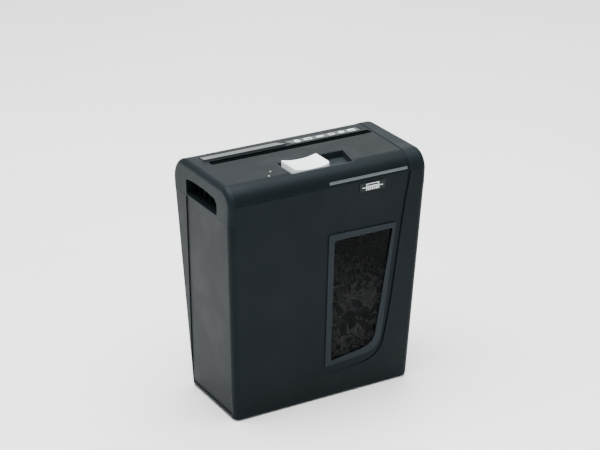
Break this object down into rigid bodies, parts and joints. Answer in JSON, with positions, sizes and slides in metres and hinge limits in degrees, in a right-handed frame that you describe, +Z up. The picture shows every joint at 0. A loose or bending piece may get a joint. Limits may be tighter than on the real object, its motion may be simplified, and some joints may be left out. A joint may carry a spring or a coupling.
{
  "type": "paper shredder",
  "caption": "Upright paper shredder: tapered waste bin with smoked window, lift-off head with feed slot, slide switch, meshed cutters, gear train and motor.",
  "frame": {"origin": "centre of the bounding box at the floor, under the middle of the bin", "axes": "+Z up, -Y the front with the window, +X to the right seen from the front"},
  "size_m": [0.3, 0.165, 0.3475],
  "materials": {
    "shell_plastic": "fine-grained moulded",
    "cap_plastic": "fine-grained moulded",
    "black_plastic": "moulded",
    "bezel_plastic": "satin moulded",
    "smoke_plastic": "smoked, clear",
    "knob_plastic": "satin moulded",
    "silver_foil": "satin metallised trim",
    "label_film": "printed film",
    "lens_plastic": "translucent",
    "plate_steel": "zinc plated",
    "tool_steel": "hardened and oiled",
    "nylon": "natural nylon",
    "board_laminate": "solder resist",
    "relay_plastic": "moulded",
    "gland_rubber": "matt"
  },
  "bodies": {
    "bin": {"bin_shell": "shell_plastic", "window_frame": "bezel_plastic", "window_pane": "smoke_plastic", "badge": "label_film"},
    "head": {"top_cover": "shell_plastic", "left_end_cap": "cap_plastic", "right_end_cap": "cap_plastic", "lower_housing": "black_plastic", "throat": "black_plastic", "switch_pocket": "black_plastic", "accent_strip": "silver_foil", "label_plate": "label_film", "paper_rest": "black_plastic", "led_ready": "lens_plastic", "led_overheat": "lens_plastic", "switch_block": "black_plastic", "mains_inlet": "gland_rubber", "housing_screw_1": "plate_steel", "housing_screw_2": "plate_steel", "housing_screw_3": "plate_steel", "housing_screw_4": "plate_steel", "interlock_switch": "black_plastic", "comb_front": "nylon", "comb_rear": "nylon", "side_plate_left": "plate_steel", "side_plate_right": "plate_steel", "tie_rod_front": "plate_steel", "tie_rod_rear": "plate_steel", "tie_rod_top": "plate_steel", "motor_can": "plate_steel", "motor_strap": "plate_steel", "gear_cover": "black_plastic", "control_board": "board_laminate", "board_relay": "relay_plastic", "board_capacitor": "plate_steel"},
    "knob": {"switch_knob": "knob_plastic"},
    "front_cutter": {"cutter_front": "tool_steel", "sync_gear_front": "nylon", "drive_gear": "nylon"},
    "rear_cutter": {"cutter_rear": "tool_steel", "sync_gear_rear": "nylon"},
    "idler": {"idler_gear": "nylon"},
    "rotor": {"motor_rotor": "plate_steel", "motor_fan": "black_plastic", "motor_pinion": "plate_steel"},
    "flap": {"sensor_flap": "black_plastic"},
    "plunger": {"interlock_plunger": "nylon"}
  },
  "joints": [
    {"name": "head_lift", "type": "slide", "parent": "bin", "child": "head", "axis": [0, 0, 1], "range_m": [0, 0.12]},
    {"name": "switch_slide", "type": "slide", "parent": "head", "child": "knob", "axis": [1, 0, 0], "range_m": [-0.005, 0.019]},
    {"name": "front_cutter_spin", "type": "hinge", "parent": "head", "child": "front_cutter", "pos_m": [0, 0.0065, 0.268], "axis": [1, 0, 0], "continuous": true},
    {"name": "rear_cutter_spin", "type": "hinge", "parent": "head", "child": "rear_cutter", "pos_m": [0, 0.0375, 0.268], "axis": [1, 0, 0], "continuous": true},
    {"name": "idler_spin", "type": "hinge", "parent": "head", "child": "idler", "pos_m": [0.1268, -0.0165, 0.268], "axis": [1, 0, 0], "continuous": true},
    {"name": "motor_spin", "type": "hinge", "parent": "head", "child": "rotor", "pos_m": [0.066, -0.04, 0.268], "axis": [1, 0, 0], "continuous": true},
    {"name": "sensor_flap_pivot", "type": "hinge", "parent": "head", "child": "flap", "pos_m": [0, 0.009, 0.326], "axis": [1, 0, 0], "range_deg": [-50, 0], "stiffness_Nm_per_rad": 0.004, "springref_deg": 11.46},
    {"name": "interlock_plunger_slide", "type": "slide", "parent": "head", "child": "plunger", "axis": [0, 0, 1], "range_m": [-0.003, 0]}
  ],
  "couplings": [
    {"joint": "rear_cutter_spin", "follows": "front_cutter_spin", "ratio": -1},
    {"joint": "idler_spin", "follows": "front_cutter_spin", "ratio": -3},
    {"joint": "motor_spin", "follows": "front_cutter_spin", "ratio": 12},
    {"joint": "interlock_plunger_slide", "follows": "head_lift", "ratio": -0.025}
  ]
}
